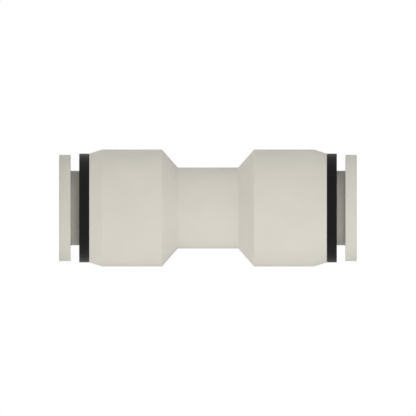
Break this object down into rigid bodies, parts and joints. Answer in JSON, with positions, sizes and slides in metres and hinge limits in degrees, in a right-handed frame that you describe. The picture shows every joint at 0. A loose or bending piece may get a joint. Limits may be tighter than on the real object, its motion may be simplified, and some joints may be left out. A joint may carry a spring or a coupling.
{
  "type": "push-in straight union fitting",
  "caption": "Push-in straight union that joins two equal plastic tubes end to end and lets each go when its release button is pressed.",
  "frame": {"origin": "middle of the fitting, on its axis, halfway between the two tube sockets", "axes": "+Z along the axis towards the upper tube; the fitting stands on the face of its lower release button, and X and Y are free because the fitting is round"},
  "size_m": [0.0152, 0.0152, 0.0388],
  "materials": {
    "ivory_pbt": "moulded, satin",
    "pale_acetal": "moulded, satin",
    "black_nylon": "moulded, semi-gloss",
    "natural_acetal": "moulded, satin",
    "nitrile_rubber": "moulded, matte",
    "spring_stainless": "pressed from bright strip"
  },
  "bodies": {
    "housing": {"body": "ivory_pbt", "upper_seal": "nitrile_rubber", "upper_seal_ring": "natural_acetal", "upper_collar": "black_nylon", "lower_seal": "nitrile_rubber", "lower_seal_ring": "natural_acetal", "lower_collar": "black_nylon"},
    "upper_grip": {"upper_collet": "natural_acetal", "upper_chuck": "spring_stainless"},
    "upper_button": {"upper_release_button": "pale_acetal"},
    "lower_grip": {"lower_collet": "natural_acetal", "lower_chuck": "spring_stainless"},
    "lower_button": {"lower_release_button": "pale_acetal"}
  },
  "joints": [
    {"name": "upper_release_slide", "type": "slide", "parent": "housing", "child": "upper_grip", "axis": [0, 0, -1], "range_m": [0, 0.001], "stiffness_N_per_m": 2000, "springref_m": -0.0005},
    {"name": "upper_button_turn", "type": "hinge", "parent": "upper_grip", "child": "upper_button", "pos_m": [0, 0, 0.0156], "axis": [0, 0, 1], "continuous": true},
    {"name": "lower_release_slide", "type": "slide", "parent": "housing", "child": "lower_grip", "axis": [0, 0, 1], "range_m": [0, 0.001], "stiffness_N_per_m": 2000, "springref_m": -0.0005},
    {"name": "lower_button_turn", "type": "hinge", "parent": "lower_grip", "child": "lower_button", "pos_m": [0, 0, -0.0156], "axis": [0, 0, -1], "continuous": true}
  ]
}
